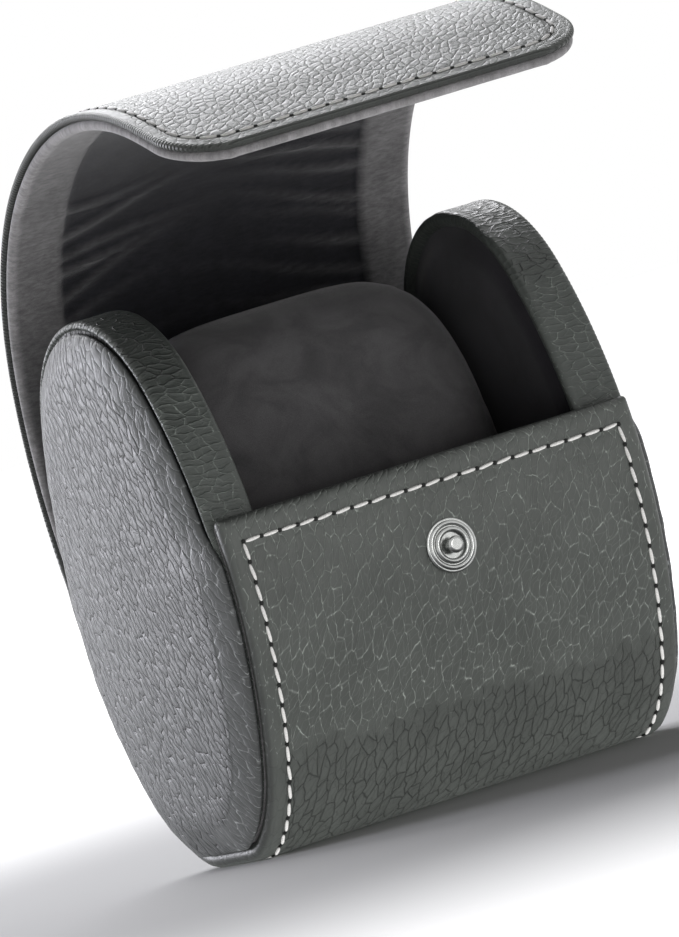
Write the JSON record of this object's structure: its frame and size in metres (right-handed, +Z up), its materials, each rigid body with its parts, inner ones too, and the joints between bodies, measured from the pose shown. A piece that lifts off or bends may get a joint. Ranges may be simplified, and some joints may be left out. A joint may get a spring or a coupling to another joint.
{
  "type": "watch travel case",
  "caption": "Oval leather watch travel case with padded end caps, a wrap-over lid closed by a press stud, and a lift-out velvet cushion.",
  "frame": {"origin": "centre of the flat base that the case stands on", "axes": "+X across the case from the left end cap to the right, -Y to the front panel, +Z up"},
  "size_m": [0.0788, 0.0875, 0.1139],
  "materials": {
    "pebbled_leather": "grey-green pebbled leather, semi-matt",
    "lid_suede": "grey suede lining",
    "cushion_velvet": "grey velvet",
    "dark_velvet": "near-black velvet",
    "stiffening_board": "grey-brown fibre board",
    "foam": "soft open-cell foam",
    "nickel": "polished nickel plate"
  },
  "bodies": {
    "case": {"cap_board_left": "stiffening_board", "cap_board_right": "stiffening_board", "cap_band_left": "pebbled_leather", "cap_band_right": "pebbled_leather", "cap_rolled_edge_left": "pebbled_leather", "cap_rolled_edge_right": "pebbled_leather", "cap_face_foam_left": "foam", "cap_face_foam_right": "foam", "cap_face_leather_left": "pebbled_leather", "cap_face_leather_right": "pebbled_leather", "cap_inner_foam_left": "foam", "cap_inner_foam_right": "foam", "cap_velvet_left": "dark_velvet", "cap_velvet_right": "dark_velvet", "wrap_leather": "pebbled_leather", "wrap_board": "stiffening_board", "wrap_lining": "lid_suede", "snap_stud": "nickel", "snap_stud_plate": "nickel"},
    "cushion": {"cushion_cover": "cushion_velvet", "cushion_core": "foam"},
    "lid_back": {"lid_back_leather": "pebbled_leather", "lid_back_filler": "stiffening_board", "lid_back_lining": "lid_suede"},
    "lid_crown_1": {"lid_crown_1_leather": "pebbled_leather", "lid_crown_1_filler": "stiffening_board", "lid_crown_1_lining": "lid_suede"},
    "lid_crown_2": {"lid_crown_2_leather": "pebbled_leather", "lid_crown_2_filler": "stiffening_board", "lid_crown_2_lining": "lid_suede"},
    "lid_crown_3": {"lid_crown_3_leather": "pebbled_leather", "lid_crown_3_filler": "stiffening_board", "lid_crown_3_lining": "lid_suede"},
    "lid_flap": {"lid_flap_leather": "pebbled_leather", "lid_flap_filler": "stiffening_board", "lid_flap_lining": "lid_suede", "snap_socket": "nickel", "snap_socket_springs": "nickel", "snap_socket_plate": "nickel"}
  },
  "joints": [
    {"name": "lid_back_fold", "type": "hinge", "parent": "case", "child": "lid_back", "pos_m": [0, 0.02822, 0.04702], "axis": [1, 0, 0], "range_deg": [0, 13.18]},
    {"name": "lid_crown_1_fold", "type": "hinge", "parent": "lid_back", "child": "lid_crown_1", "pos_m": [0, 0.0266, 0.07677], "axis": [1, 0, 0], "range_deg": [0, 13.18]},
    {"name": "lid_crown_2_fold", "type": "hinge", "parent": "lid_crown_1", "child": "lid_crown_2", "pos_m": [0, 0.02153, 0.0887], "axis": [1, 0, 0], "range_deg": [0, 13.18]},
    {"name": "lid_crown_3_fold", "type": "hinge", "parent": "lid_crown_2", "child": "lid_crown_3", "pos_m": [0, 0.01613, 0.09587], "axis": [1, 0, 0], "range_deg": [0, 13.18]},
    {"name": "lid_flap_fold", "type": "hinge", "parent": "lid_crown_3", "child": "lid_flap", "pos_m": [0, 0.00742, 0.10318], "axis": [1, 0, 0], "range_deg": [0, 13.18]},
    {"name": "cushion_lift", "type": "slide", "parent": "case", "child": "cushion", "axis": [0, -0.8, 0.6], "range_m": [0, 0.008]}
  ],
  "couplings": [
    {"joint": "lid_crown_1_fold", "follows": "lid_back_fold", "ratio": 1},
    {"joint": "lid_crown_2_fold", "follows": "lid_back_fold", "ratio": 1},
    {"joint": "lid_crown_3_fold", "follows": "lid_back_fold", "ratio": 1},
    {"joint": "lid_flap_fold", "follows": "lid_back_fold", "ratio": 1}
  ]
}
